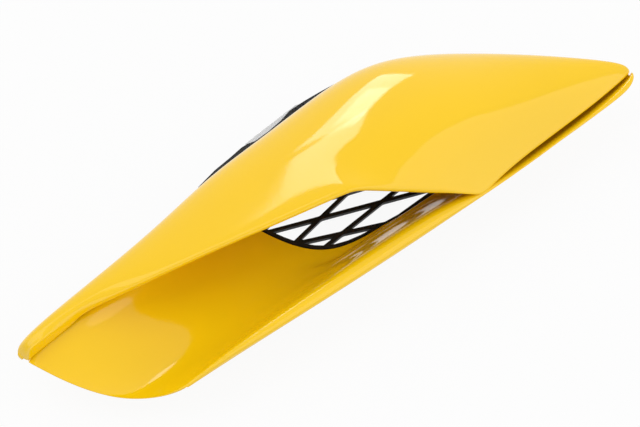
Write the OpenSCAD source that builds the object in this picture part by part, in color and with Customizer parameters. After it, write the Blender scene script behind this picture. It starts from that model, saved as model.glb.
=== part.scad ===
// Side air scoop for the left rear quarter of a mid-engined car
// X runs rearward, Y inboard towards the car, Z up off the body panel
// The origin is on the axis of the front mounting stud, at the seat of its plate

/* [Overall size] */
// Length of the scoop from nose to tail
scoop_l = 675; // [620:5:740]
// Width from the lip to the inboard flange
scoop_w = 200; // [190:1:215]
// Height of the hood over the floor of the duct
scoop_h = 97; // [90:1:110]

/* [Panels] */
// Wall of the outer shell
shell_t = 2.5; // [1.8:0.1:3]
// Wall of the duct panel
duct_t = 2.5; // [1.8:0.1:3]
// Clearance between pieces that seat on each other
seat_gap = 0.3; // [0.2:0.05:0.5]

/* [Grille] */
// Width of each bar
bar_w = 4; // [3:0.5:6]
// Depth of each bar and of the rim
bar_d = 3.5; // [3:0.5:5]
// Spacing of the bars that run lengthwise
long_pitch = 31.4; // [28:0.2:36]
// Spacing of the bars that run across
cross_pitch = 20.6; // [18:0.2:26]
// Width of the rim at its front end
rim_w = 4.5; // [3:0.5:7]
// Width of the rim along the foot of the lip
rim_w_rear = 1.8; // [1:0.2:4]
// Clearance between the rim and the edge of the duct panel
rim_gap = 1; // [0.8:0.1:1.5]
// Width of the flange that laps under the duct panel
lap_w = 7; // [4:0.5:9]
// Thickness of the flange
flange_t = 2.5; // [1.5:0.5:4]

/* [Inboard bracket] */
// Length of the bracket
bracket_l = 72; // [60:1:90]
// Width of the bracket
bracket_w = 24; // [20:1:30]
// Thickness of its sheet
bracket_t = 1.5; // [1:0.25:3]
// Radius of each rivet shank
rivet_r = 1.6; // [1.2:0.1:2.4]
// Radius of each rivet head
rivet_head_r = 3; // [2.6:0.1:3.6]
// Height of each rivet head
rivet_head_h = 1.6; // [1:0.1:2.5]

/* [Mounting studs] */
// Radius of the stud
stud_r = 3; // [2:0.5:4]
// Length of the stud below its plate
stud_l = 16; // [10:1:30]
// Radius of the bonded plate
stud_plate_r = 6; // [5:0.5:8]
// Thickness of the bonded plate
stud_plate_t = 1.5; // [1:0.25:3]

/* [Screws and spring nuts] */
// Radius of a screw shank
screw_r = 2; // [1.5:0.1:2.5]
// Radius of a screw head
screw_head_r = 4; // [3.5:0.1:5]
// Height of a screw head
screw_head_h = 2.4; // [1.5:0.1:3.5]
// Radial clearance around a screw or rivet
hole_gap = 0.2; // [0.15:0.05:0.4]
// Thread that stands out past the nut
screw_tip = 2; // [1:0.5:4]
// Length of the side of a spring nut
nut_side = 10; // [9:0.5:12]
// Thickness of a spring nut
nut_t = 0.8; // [0.5:0.1:1.5]
// Height of the collar of a spring nut
nut_collar_h = 1.6; // [1:0.1:3]
// Wall of the collar of a spring nut
nut_collar_w = 1; // [0.8:0.1:1.4]

/* [Foam seal] */
// Width of the foam strip
seal_w = 8; // [6:0.5:12]
// Thickness of the foam strip
seal_t = 2; // [1:0.5:4]

/* [Hidden] */
$fn = 32;

// The form is styled at these sizes and then brought to the sizes above
styled = [675, 200, 97];
to_size = [scoop_l / styled.x, scoop_w / styled.y, scoop_h / styled.z];

function sized(p) = [p.x * to_size.x, p.y * to_size.y, p.z * to_size.z];
function mix(a, b, t) = a * (1 - t) + b * t;
function ease(a, b, x) = let (t = min(1, max(0, (x - a) / (b - a)))) t * t * (3 - 2 * t);
function soft_max(a, b, r) = (a + b) / 2 + sqrt(pow((a - b) / 2, 2) + r * r);
function soft_min(a, b, r) = (a + b) / 2 - sqrt(pow((a - b) / 2, 2) + r * r);
function unit(v) = v / norm(v);
// The shares of n equal steps from a up to, but not with, b
function span(a, b, n) = [for (i = [0:n - 1]) mix(a, b, i / n)];

// Point at t, from 0 to 1, on a smooth curve led by the points p and ending on the first and the last
function curve(p, t) =
  let (
    n = len(p),
    s = min(1, max(0, t)) * (n - 1),
    i = min(floor(s), n - 2),
    f = s - i,
    a = i == 0 ? 2 * p[0] - p[1] : p[i - 1],
    d = i == n - 2 ? 2 * p[n - 1] - p[n - 2] : p[i + 2],
    wa = pow(1 - f, 3),
    wb = 3 * f * f * f - 6 * f * f + 4,
    wc = -3 * f * f * f + 3 * f * f + 3 * f + 1,
    wd = f * f * f
  )
  (a * wa + p[i] * wb + p[i + 1] * wc + d * wd) / 6;

// Grille plane: it rises inboard from under the lip to the underside of the shell's flange
grille_low = -20;
grille_low_y = -45;
grille_slope = 0.17;
grille_tilt = atan(grille_slope * to_size.z / to_size.y);
function plane_z(y) = grille_low + grille_slope * (y - grille_low_y);

// Edge of the grille's opening, as Y at each X: it falls away from the wall at its front end,
// runs along the foot of the lip with a slight drift outboard, and climbs again at its rear end
opening_y = -45;
front_x = 232.5;
front_rise = 70;
front_run = 21;
rear_x = 478;
rear_rise = 120;
rear_run = 9;
drift_x = 330;
drift = 0.075;
function opening_edge(x) =
  opening_y + front_rise * exp((front_x - x) / front_run)
  - drift * max(0, x - drift_x) + rear_rise * exp((x - rear_x) / rear_run);
function opening_lean(x) =
  -front_rise / front_run * exp((front_x - x) / front_run)
  - (x > drift_x ? drift : 0) + rear_rise / rear_run * exp((x - rear_x) / rear_run);

// X at which the front and the rear end of the edge pass a given Y
function edge_log(y, rise) = ln(max(0.001, y - opening_y) / rise);
function front_end_x(y) = front_x - front_run * edge_log(y, front_rise);
function rear_end_x(y) = rear_x + rear_run * edge_log(y, rear_rise);
// Distance of a point outside the opening from its edge: the height of the triangle that the point
// spans with the edge along X and along Y
function off_edge(x, y) =
  let (
    dx = max(front_end_x(y) - x, x - rear_end_x(y)),
    dy = max(0, opening_edge(x) - y)
  )
  dx * dy / norm([dx, dy]);

// Stations of the shell's sections along X, close together at the nose and the tail
shell_x = [-33, -32, -20, 15, 80, 150, 225, 300, 370, 440, 510, 575, 628, 643, 643];
// Guide lines of the shell as [Y, Z] at each station: flange edge, foot, wall, shoulder, crown and brow
flange_line = [
  [49, -7], [46, -4], [46, 0], [46, 0], [47, 1], [54, 2], [66, 3], [76, 4], [80, 5], [72, 5],
  [38, 4], [-20, 3], [-57, 1], [-69, 0], [-70, 0]
];
foot_line = [
  [54, -7], [58, -4], [60, 0], [64, 0], [69, 1], [77, 2], [91, 3], [93, 4], [98, 5], [96, 5],
  [60, 4], [0, 3], [-52, 1], [-66, 0], [-67, 0]
];
wall_line = [
  [54.5, -5.4], [58, 1], [59, 7], [63, 9], [68, 11], [76, 13], [90, 16], [92, 20], [97, 24], [95, 25],
  [58, 21], [-2, 15], [-55, 8], [-67, 4], [-68, 3]
];
shoulder_line = [
  [52, -4.6], [52, 7], [53, 15], [55, 21], [60, 26], [66, 32], [77, 40], [75, 48], [76, 58], [73, 60],
  [37, 42], [-13, 31], [-57, 17], [-69, 8], [-70, 5]
];
crown_line = [
  [47, -4.2], [47, 10], [48, 17], [46, 24], [44, 31], [38, 40], [30, 52], [20, 66], [10, 75], [3, 71],
  [-12, 52], [-40, 36], [-64, 19], [-71, 9], [-72, 5]
];
brow_line = [
  [42.5, -2.5], [43, 9], [43, 16], [41, 22], [32, 31], [16, 43], [-4, 57], [-24, 71], [-40, 73], [-52, 58],
  [-60, 40], [-67, 26], [-73, 14], [-75, 7], [-74, 5]
];
// How far the rim has risen at each station, its height, and the line that the shell's rear edge keeps
nose_ramp = [0.02, 0.85, 1, 1, 1, 1, 1, 1, 1, 1, 1, 1, 1, 0.8, 0.5];
rim_rise = [15, 15, 15, 14.5, 29, 45.5, 58.5, 74, 90, 102, 112, 122, 132, 142, 142];
rear_edge_y = [-140, -140, -140, -140, -140, -140, -140, -130, -108, -93, -89, -87, -81, -76, -75];
rear_edge_z = [0, 0, 0, 0, 0, 0, 0, 0, 5, 9.5, 8, 8.5, 7, 4.5, 3];
// The mouth lies in one upright plane, seen from above as a line that runs rearward and outboard
mouth_x = 35;
mouth_y = 38;
mouth_slope = 0.3706;
// Rear corner of the mouth: the rim comes down to it and drops off over the last stretch
corner_x = 402;
corner_z = 15;
corner_fall = 0.47;
corner_drop = 3.5;
corner_run = [362, 405];
// Hem: how far it reaches in, and the drop of its outer face and its inner end, at the mouth and behind
hem_depth = 10;
hem_drop = [6, 2.5];
hem_end_drop = [9, 2];
hem_change = [358, 398];
// The side wall ahead of the mouth stands on the seam, which climbs rearward from the nose
seam_start = 5;
seam_x = -9;
seam_climb = 0.165;
nose_droop = 1.2;
nose_run = [-33, -28];
wall_run = [15, 70];
// Radii over which the rim's lines blend into each other
rim_blend = 2.5;
side_blend = 1.5;
edge_blend = 1.2;

function ease_over(r, x) = ease(r[0], r[1], x);
function mouth_edge(u, x) =
  let (
    line_y = soft_min(mouth_y + 1, mouth_y - (x - mouth_x) * mouth_slope, rim_blend),
    fall = corner_z + corner_fall * (corner_x - x) - corner_drop * ease_over(corner_run, x),
    arch = soft_min(curve(rim_rise, u), fall, rim_blend)
  )
  [
    soft_max(line_y, curve(rear_edge_y, u), side_blend),
    soft_max(arch, curve(rear_edge_z, u), edge_blend) * curve(nose_ramp, u)
  ];
// Height of the seam between the shell's side wall and the duct panel
function seam_z(x, k) =
  max(0, seam_start + (x - seam_x) * seam_climb) * k - nose_droop * (1 - ease_over(nose_run, x));
// The flange comes down onto the grille over the first stretch and leaves it over the second
onto_grille = [185, 215];
off_grille = [482, 510];
function on_grille_zone(x) = ease_over(onto_grille, x) * (1 - ease_over(off_grille, x));
function foot_point(p, x) =
  [p[0], mix(p[1], plane_z(p[0]) + seat_gap / to_size.z, on_grille_zone(x))];
// Share of the flange's width that stays flat
flange_flat = 0.65;
// Control points of one section, from the flange over the crown to the hem inside the mouth
function shell_section(u) =
  let (
    x = curve(shell_x, u),
    e = mouth_edge(u, x),
    k = curve(nose_ramp, u),
    brow = curve(brow_line, u),
    open = ease_over(wall_run, x),
    rear = ease_over(hem_change, x),
    seam = seam_z(x, k),
    flange = foot_point(curve(flange_line, u), x),
    foot = foot_point(curve(foot_line, u), x),
    hem_z = e[1] - mix(hem_drop[0], hem_drop[1], rear) * k,
    hem_end_z = e[1] - mix(hem_end_drop[0], hem_end_drop[1], rear) * k
  )
  [
    flange,
    mix(flange, foot, flange_flat),
    foot,
    curve(wall_line, u),
    curve(shoulder_line, u),
    curve(crown_line, u),
    brow,
    mix(e, brow, 0.25) + [0, k],
    e,
    [e[0] + open / 2, mix((e[1] + seam) / 2, hem_z, open)],
    [mix(mouth_y + 1, e[0] + hem_depth, open), mix(seam, hem_end_z, open)]
  ];
function shell_row(u, vs) =
  let (x = curve(shell_x, u), s = shell_section(u))
  [for (v = vs) let (p = curve(s, v)) sized([x, p[0], p[1]])];

// Guide lines of the duct panel as [X, Y, Z]: from the margin under the hood, across the floor to the lip
margin_y = [54, 63, 75, 82, 86, 80, 46, -12];
top_y = [42, 49, 61, 70, 74, 66, 32, -26];
// The margin seats on top of the shell's flange
margin_lift = (shell_t + duct_t + 3 * seat_gap) / to_size.z;
function seated(ys) = [for (i = [0:7]) [shell_x[i + 4], ys[i], flange_line[i + 4][1] + margin_lift]];
margin_line = concat(
  [[-33.6, 38.6, -1.6], [-24, 42.5, 1.4], [20, 41, 8]],
  seated(margin_y),
  [[625, -61.5, 6], [642, -72.5, 1], [642, -73, 1]]
);
top_line = concat(
  [[-33.6, 38.2, -1.7], [-24, 40.5, 1.4], [20, 39, 8.6]],
  seated(top_y),
  [[625, -65, 5.5], [642, -73, 0.5], [642, -73.5, 0.5]]
);
wall_foot_line = [
  [-30, 24, -2], [-13, 24, -3], [20, 24, -4], [80, 32, -4], [150, 40, -4], [225, 52, -4], [300, 60, -5],
  [370, 62, -6], [440, 54, -6], [510, 22, -6], [575, -30, -5], [625, -67, -2], [642, -73, -0.5], [642, -74, -0.5]
];
floor_line = [
  [-20, -4, -7], [-5, -4, -11], [25, -4, -16], [80, 2, -17], [150, 10, -12.5], [225, 15, -7.8], [300, 10, -8.4],
  [370, 5, -10], [440, 0, -12], [510, -20, -13], [575, -45, -9], [625, -70, -4], [642, -74, -1.5], [642, -75, -1]
];
trough_line = [
  [4, -38, -18.5], [10, -38, -20.5], [38, -40, -25], [85, -42, -25], [150, -43, -23], [225, -44, -23],
  [300, -46, -23.5], [370, -46, -23], [440, -50, -20], [510, -58, -15], [575, -66, -8], [625, -74, -4],
  [642, -76, -2], [642, -76, -1.5]
];
side_line = [
  [31, -65, -15], [38, -66, -15], [60, -68, -14], [96, -70, -12], [150, -73, -11], [225, -76, -11],
  [300, -79, -11], [370, -80, -11], [440, -77, -11], [510, -77, -9], [575, -77, -7], [625, -78, -3],
  [642, -78, 0], [642, -77, 0]
];
crest_line = [
  [48, -75, -8], [54, -77, -5], [70, -78.5, 1.5], [100, -82, 9], [150, -87, 14], [225, -92, 16], [300, -95, 16],
  [370, -96, 14], [440, -95, 3.5], [510, -94, 5], [575, -92, 6], [625, -88, 8], [641, -81, 7], [643, -78, 5]
];
outer_line = [
  [52, -77, -7], [58, -79, -5.5], [74, -81.5, -1], [103, -86, 4], [150, -93, 8], [225, -99, 10.5],
  [300, -101, 11], [370, -102, 10], [440, -100, 3.4], [510, -98, 5], [575, -97, 6], [625, -96.5, 3],
  [643, -84, 3], [644, -79, 3]
];
underlip_line = [
  [54, -78, -8], [58, -78.5, -7.5], [72, -80, -6], [102, -83, -3], [150, -88, 1], [225, -92, 2], [300, -95, 2],
  [370, -96, 2], [440, -96, 2], [510, -95, 1], [575, -94, 0], [625, -88, 0], [641, -80, 0], [642, -78, 0]
];
duct_lines = [
  margin_line, top_line, wall_foot_line, floor_line, trough_line, side_line, crest_line, outer_line,
  underlip_line
];
function duct_section(u) = [for (g = duct_lines) curve(g, u)];
// Share of the section at which it crosses the edge of the grille's opening
function crossing(s, y, lo = 0, hi = 0.6, n = 16) =
  n == 0 ? (lo + hi) / 2
  : let (m = (lo + hi) / 2)
    curve(s, m)[1] > y ? crossing(s, y, m, hi, n - 1) : crossing(s, y, lo, m, n - 1);

// Land: the flat ledge of the duct panel around the opening. It stands over the tops of the bars, fades
// with the distance from the opening, and stops short of the shell's flange and of the side of the lip
land_x = 150;
land_rise = 0.8;
land_fade = [5, 40];
flange_fade = [-28, -12];
side_fade = [3, 16];
function flange_edge(x) = lookup(x, [for (i = [2:12]) [shell_x[i], flange_line[i][0]]]);
function on_land(p) =
  p[0] < land_x ? p
  : let (
      w = (1 - ease_over(land_fade, off_edge(p[0], p[1]))) * (1 - ease_over(flange_fade, p[1] - flange_edge(p[0])))
        * (1 - ease_over(side_fade, opening_y - p[1]))
    )
    [p[0], p[1], mix(p[2], plane_z(p[1]) + land_rise, w)];
function duct_row(u, vs) =
  let (
    s = duct_section(u),
    x = curve(trough_line, u)[0],
    y = opening_edge(x),
    v0 = x < land_x || curve(s, 0)[1] <= y ? 0 : crossing(s, y)
  )
  [for (v = vs) sized(on_land(curve(s, v0 + (1 - v0) * v)))];

// Unit normals of a grid of points, towards the hidden side of the panel
function normals(g) =
  [
    for (i = [0:len(g) - 1])
      [
        for (j = [0:len(g[0]) - 1])
          let (
            a = g[min(i + 1, len(g) - 1)][j] - g[max(i - 1, 0)][j],
            b = g[i][min(j + 1, len(g[0]) - 1)] - g[i][max(j - 1, 0)],
            n = cross(a, b)
          )
          n / max(norm(n), 0.0001)
      ]
  ];
// Share of the full wall: panels thin out towards the nose, the tail and the edge at v = 1
edge_wall = 0.3;
function wall_share(u, v, nose, tail, thinning) =
  mix(edge_wall, 1, ease(0, nose, u) * ease(0, tail, 1 - u)) * (1 - thinning * ease(0.75, 0.9, v));
// Closed panel of thickness t, given for each row as a list, behind a grid of points
module panel(g, t) {
  rows = len(g);
  cols = len(g[0]);
  n = normals(g);
  inner = [for (i = [0:rows - 1]) [for (j = [0:cols - 1]) g[i][j] + n[i][j] * t[i][j]]];
  points = [for (r = g) each r, for (r = inner) each r];
  m = rows * cols;
  front = [
    for (i = [0:rows - 2], j = [0:cols - 2])
      let (a = i * cols + j, b = a + 1, c = a + cols, d = c + 1)
      each [[a, d, b], [a, c, d]]
  ];
  back = [for (f = front) [m + f[0], m + f[2], m + f[1]]];
  ends = [
    for (j = [0:cols - 2])
      let (a = j, b = j + 1, c = (rows - 1) * cols + j, d = c + 1)
      each [[a, b, m + b], [a, m + b, m + a], [c, m + d, d], [c, m + c, m + d]]
  ];
  sides = [
    for (i = [0:rows - 2])
      let (a = i * cols, b = a + cols, c = a + cols - 1, d = b + cols - 1)
      each [[a, m + b, b], [a, m + a, m + b], [c, d, m + d], [c, m + d, m + c]]
  ];
  polyhedron(points, concat(front, back, ends, sides));
}

// Every piece is drawn about the styling origin and then moved so that the front stud is the origin
front_stud = [0, 52];
module placed() {
  translate([
    -front_stud.x * to_size.x,
    -front_stud.y * to_size.y,
    seat_gap + stud_plate_t
  ])
    children();
}

// Fixings along the inboard flange, as the share of the shell's length at which each one sits
grille_fixings = [0.455, 0.5, 0.56, 0.615];
panel_fixings = [0.3, 0.37, 0.735];
mid_stud = 0.335;
rear_stud = 0.793;
front_seal = [0.215, 0.28];
rear_seal = [0.748, 0.775];
// All of them sit on this line of the flange
flange_v = 0.0445;
function shell_point(u, v) = shell_row(u, [v])[0];
module on_flange(u) {
  p = shell_point(u, flange_v);
  translate(p)
    rotate([on_grille_zone(p.x / to_size.x) * grille_tilt, 0, 0])
      children();
}
// Cutter for the hole of a screw or rivet of radius r, long enough to pass through every panel
drill_l = 40;
module drill(r) {
  cylinder(h = drill_l, r = r + hole_gap, center = true);
}

shell_us = concat(span(0, 1, 44), [1]);
shell_vs = concat(span(0, 1, 26), [1]);
module outer_shell() {
  g = [for (u = shell_us) shell_row(u, shell_vs)];
  t = [for (u = shell_us) [for (v = shell_vs) shell_t * wall_share(u, v, 0.06, 0.1, 0.4)]];
  color([0.98, 0.8, 0.2])
    placed()
      difference() {
        panel(g, t);
        for (s = concat(grille_fixings, panel_fixings))
          on_flange(s) drill(screw_r);
      }
}

// The rows stand closer where the opening's edge turns, at its front and rear ends
duct_us = concat(
  span(0, 0.372, 16),
  span(0.372, 0.4765, 11),
  span(0.4765, 0.612, 6),
  span(0.612, 0.668, 8),
  span(0.668, 1, 14),
  [1]
);
duct_vs = concat(span(0, 1, 22), [1]);
module duct_panel() {
  g = [for (u = duct_us) duct_row(u, duct_vs)];
  t = [for (u = duct_us) [for (v = duct_vs) duct_t * wall_share(u, v, 0.05, 0.08, 0.3)]];
  color([0.85, 0.66, 0.2])
    placed()
      difference() {
        panel(g, t);
        for (s = panel_fixings)
          on_flange(s) drill(screw_r);
      }
}

// Points of the plane in the grille's own frame, which lies at the tops of the bars
function on_plane(p) = [p[0] * to_size.x, p[1] * to_size.y / cos(grille_tilt)];
module grille_frame() {
  translate([0, 0, plane_z(0) * to_size.z])
    rotate([grille_tilt, 0, 0])
      children();
}

// Line of the opening moved outwards by d at its front end and by e along the lip
edge_stations = [
  224, 226, 228.5, 231.5, 234, 237, 241, 246, 252, 259, 267, 277, 290, 305, 325, 345, 370, 400, 425, 440, 450,
  457, 462, 466, 469, 471.5, 473.5, 475, 476.5, 477.5
];
rim_change = [246, 345];
function edge_line(d, e) =
  [
    for (x = edge_stations)
      let (
        lean = opening_lean(x) * to_size.y / to_size.x,
        out = unit([lean, -1])
      )
      on_plane([x, opening_edge(x)]) + out * mix(d, e, ease_over(rim_change, x))
  ];
// Inboard edge of the grille's black strip, wider around the two rivets, and the inner edge of that strip
strip_edge = [
  [472, 96], [455, 105], [440, 108], [419, 111], [395, 112.6], [376, 113.4], [356, 113.2], [340, 109],
  [321, 106.5], [303, 105.5], [295, 107.5], [287, 107.5], [270, 105], [248, 102.5], [222, 97], [216, 92]
];
strip_inner = [[464, 58], [440, 68], [400, 75], [360, 76], [320, 74], [285, 70], [255, 66], [240, 63]];

// Bars: two sets of straight bars that cross at a sharp angle and fan out a little towards the lip
long_angle = 9.3;
cross_angle = -20;
first_knot = [289.6, -1.1];
fan = [-15, 2.7];
function heading(angle) = [cos(angle), sin(angle)];
// Steps from a crossing to the next one, along a cross bar and along a long bar
long_step = heading(cross_angle) * long_pitch / sin(long_angle - cross_angle);
cross_step = -heading(long_angle) * cross_pitch / sin(long_angle - cross_angle);
// Crossing of long bar i and cross bar j; the fan eases off inboard, under the hood
function knot(i, j) = on_plane(first_knot) + i * long_step + j * cross_step + max(i, i / 4) * j * fan;
// Corner q of a window between p and r, half a bar in from both sides
function window_corner(p, q, r) =
  let (a = unit(p - q), b = unit(r - q))
  q + (a + b) * bar_w / 2 / abs(a.x * b.y - a.y * b.x);
// Corner rounded over a length l of both its sides
function rounded(p, q, r, l) =
  let (
    a = q + (p - q) * min(0.4, l / norm(p - q)),
    b = q + (r - q) * min(0.4, l / norm(r - q))
  )
  [for (t = [0, 0.33, 0.67, 1]) a * pow(1 - t, 2) + q * 2 * t * (1 - t) + b * t * t];
corner_sharp = 5;
corner_blunt = 2;
module grille_window(i, j) {
  k = [knot(i, j), knot(i, j + 1), knot(i + 1, j + 1), knot(i + 1, j)];
  c = [for (n = [0:3]) window_corner(k[(n + 3) % 4], k[n], k[(n + 1) % 4])];
  polygon([
    for (n = [0:3])
      each rounded(c[(n + 3) % 4], c[n], c[(n + 1) % 4], n % 2 == 0 ? corner_blunt : corner_sharp)
  ]);
}
// Bars on each side of the first knot that the opening can hold
long_bars = [-3, 2];
cross_bars = [-6, 3];

// The lapping flange grows out of the rim, below the land that lies on it
lap_top = -duct_t - seat_gap + land_rise * to_size.z;
lap_root = 0.7 * min(rim_w, rim_w_rear);
function short_of_ends(ps) = [for (i = [1:len(ps) - 2]) ps[i]];
function reversed(ps) = [for (i = [len(ps) - 1:-1:0]) ps[i]];
module grille() {
  strip = [for (p = strip_edge) on_plane(p)];
  inner = concat(edge_line(-rim_gap - rim_w, -rim_gap - rim_w_rear), [for (p = strip_inner) on_plane(p)]);
  color([0.1, 0.1, 0.1])
    placed()
      difference() {
        grille_frame() {
          translate([0, 0, -bar_d])
            linear_extrude(bar_d)
              difference() {
                polygon(concat(edge_line(-rim_gap, -rim_gap), strip));
                intersection() {
                  polygon(inner);
                  for (i = [long_bars[0]:long_bars[1]], j = [cross_bars[0]:cross_bars[1]])
                    grille_window(i, j);
                }
              }
          translate([0, 0, lap_top - flange_t])
            linear_extrude(flange_t)
              polygon(concat(
                short_of_ends(edge_line(lap_w, lap_w)),
                reversed(short_of_ends(edge_line(-rim_gap - lap_root, -rim_gap - lap_root)))
              ));
        }
        for (s = grille_fixings)
          on_flange(s) drill(screw_r);
        grille_frame()
          for (p = rivet_spots)
            translate(p) drill(rivet_r);
      }
}

// Bracket: a strip of sheet under the grille's inboard strip, held by two rivets at its rear end
bracket_rear = [368, 117];
bracket_front_y = 111;
bracket_tail = 8;
bracket_corner = [3, 4];
bracket_end = on_plane(bracket_rear);
rivet_spots = [for (x = [-7, 3]) bracket_end + [x, -7]];
module bracket_outline() {
  front = [bracket_end.x - bracket_l, on_plane([0, bracket_front_y]).y];
  tail = bracket_end + [bracket_tail, 0];
  polygon([
    front,
    bracket_end,
    tail - [0, bracket_corner[0]],
    tail - [0, bracket_w],
    front - [0, bracket_w - bracket_corner[1]]
  ]);
}
module inboard_bracket() {
  color([0.8, 0.8, 0.8])
    placed()
      grille_frame()
        translate([0, 0, -bar_d - seat_gap - bracket_t])
          difference() {
            linear_extrude(bracket_t)
              bracket_outline();
            for (p = rivet_spots)
              translate(p) drill(rivet_r);
          }
}

// Rivet: a low head on the strip and a shank that ends flush under the bracket's folded end
rivet_foot = 1;
module rivet(p) {
  low = -bar_d - 2 * seat_gap - bracket_t - rivet_foot;
  color([0.15, 0.15, 0.15])
    placed()
      grille_frame()
        translate(p) {
          translate([0, 0, seat_gap])
            cylinder(h = rivet_head_h, r1 = rivet_head_r, r2 = rivet_head_r * 0.6);
          translate([0, 0, low])
            cylinder(h = seat_gap - low, r = rivet_r);
        }
}

// Foam strip under the shell's flange, between two stations of the shell
seal_steps = 6;
module seal(ends) {
  g = [
    for (i = [0:seal_steps])
      let (p = shell_point(mix(ends[0], ends[1], i / seal_steps), flange_v) - [0, 0, seat_gap])
      [for (s = [-1, 1]) p + [0, s * seal_w / 2, 0]]
  ];
  color([0.2, 0.2, 0.22])
    placed()
      prism_strip(g, seal_t);
}
// Closed strip of thickness t under a row of point pairs
module prism_strip(g, t) {
  n = len(g);
  points = [for (r = g) each [r[0], r[1], r[1] - [0, 0, t], r[0] - [0, 0, t]]];
  faces = [
    for (i = [0:n - 2], k = [0:3])
      let (a = 4 * i + k, b = 4 * i + (k + 1) % 4)
      each [[a, b + 4, a + 4], [a, b, b + 4]]
  ];
  last = 4 * (n - 1);
  caps = [[0, 2, 1], [0, 3, 2], [last, last + 1, last + 2], [last, last + 2, last + 3]];
  polyhedron(points, concat(faces, caps));
}

// Stud with a round plate bonded to the underside of a panel
module stud(p) {
  color([0.6, 0.6, 0.62])
    placed()
      translate(p - [0, 0, seat_gap + stud_plate_t]) {
        cylinder(h = stud_plate_t, r = stud_plate_r);
        translate([0, 0, -stud_l])
          cylinder(h = stud_l + stud_plate_t / 2, r = stud_r);
      }
}
// Spot of the fourth stud, under the floor of the trough
trough_spot = [0.23, 0.49];
function duct_underside(s) = duct_row(s[0], [s[1]])[0] - [0, 0, duct_t];

// Screw driven from below into a spring nut: under and seat are the heights of the two faces it clamps,
// over the underside of the shell's flange
module screw(u, under, seat) {
  head = under - seat_gap;
  top = seat + seat_gap + nut_t + nut_collar_h + screw_tip;
  color([0.25, 0.25, 0.27])
    placed()
      on_flange(u) {
        translate([0, 0, head - screw_head_h])
          cylinder(h = screw_head_h, r1 = screw_head_r * 0.75, r2 = screw_head_r);
        translate([0, 0, head - screw_head_h / 2])
          cylinder(h = top - head + screw_head_h / 2, r = screw_r);
      }
}
// Spring nut: a square of sheet with a raised collar, seated at a height over the flange's underside
module nut(u, seat) {
  color([0.55, 0.55, 0.58])
    placed()
      on_flange(u)
        translate([0, 0, seat + seat_gap])
          difference() {
            union() {
              translate([-nut_side / 2, -nut_side / 2, 0])
                cube([nut_side, nut_side, nut_t]);
              cylinder(h = nut_t + nut_collar_h, r = screw_r + hole_gap + nut_collar_w);
            }
            drill(screw_r);
          }
}
margin_top = margin_lift * to_size.z;
module grille_screw(k) { screw(grille_fixings[k], -bar_d - seat_gap, shell_t); }
module grille_nut(k) { nut(grille_fixings[k], shell_t); }
module panel_screw(k) { screw(panel_fixings[k], 0, margin_top); }
module panel_nut(k) { nut(panel_fixings[k], margin_top); }

outer_shell();
duct_panel();
grille();
inboard_bracket();
rivet(rivet_spots[0]);  // bracket_rivet_1
rivet(rivet_spots[1]);  // bracket_rivet_2
seal(front_seal);  // seal_front
seal(rear_seal);  // seal_rear
stud(sized([front_stud.x, front_stud.y, 0]));  // mounting_stud_1
stud(shell_point(mid_stud, flange_v));  // mounting_stud_2
stud(shell_point(rear_stud, flange_v));  // mounting_stud_3
stud(duct_underside(trough_spot));  // mounting_stud_4
grille_screw(0);  // grille_screw_1
grille_screw(1);  // grille_screw_2
grille_screw(2);  // grille_screw_3
grille_screw(3);  // grille_screw_4
grille_nut(0);  // grille_nut_1
grille_nut(1);  // grille_nut_2
grille_nut(2);  // grille_nut_3
grille_nut(3);  // grille_nut_4
panel_screw(0);  // panel_screw_1
panel_screw(1);  // panel_screw_2
panel_screw(2);  // panel_screw_3
panel_nut(0);  // panel_nut_1
panel_nut(1);  // panel_nut_2
panel_nut(2);  // panel_nut_3
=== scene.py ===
import math

import bmesh
import bpy
import numpy as np
from mathutils import Matrix, Vector


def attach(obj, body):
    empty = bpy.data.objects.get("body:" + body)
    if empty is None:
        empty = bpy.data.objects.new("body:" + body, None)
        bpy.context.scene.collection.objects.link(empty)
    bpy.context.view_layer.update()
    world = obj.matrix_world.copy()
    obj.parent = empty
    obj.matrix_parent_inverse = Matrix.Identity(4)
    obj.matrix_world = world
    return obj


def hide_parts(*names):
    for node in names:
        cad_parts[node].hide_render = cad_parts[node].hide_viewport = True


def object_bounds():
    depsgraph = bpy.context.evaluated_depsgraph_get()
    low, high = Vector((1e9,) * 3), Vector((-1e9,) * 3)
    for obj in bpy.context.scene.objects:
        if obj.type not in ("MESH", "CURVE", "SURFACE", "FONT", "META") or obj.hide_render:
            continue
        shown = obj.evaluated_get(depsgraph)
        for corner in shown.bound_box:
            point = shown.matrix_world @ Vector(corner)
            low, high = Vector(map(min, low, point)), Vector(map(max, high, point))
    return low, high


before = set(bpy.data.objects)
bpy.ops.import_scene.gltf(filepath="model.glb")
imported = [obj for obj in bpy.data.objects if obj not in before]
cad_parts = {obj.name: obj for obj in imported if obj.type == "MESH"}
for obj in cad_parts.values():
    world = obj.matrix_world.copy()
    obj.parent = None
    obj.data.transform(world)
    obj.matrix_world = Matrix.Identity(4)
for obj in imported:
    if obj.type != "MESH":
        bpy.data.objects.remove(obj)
cad_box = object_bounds()

# Camera: a long lens at the front outboard quarter, looking down on the scoop at 45 degrees.
# The picture is 640 pixels wide, and at the aim point one of them is 0.93 mm.
PICTURE_WIDTH = 640
PIXEL = 0.00093
AIM = Vector((0.265, -0.078, 0.0298))
AZIMUTH = math.radians(-43.5)
ELEVATION = math.radians(45)
DISTANCE = 2.5
SENSOR = 36

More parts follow.
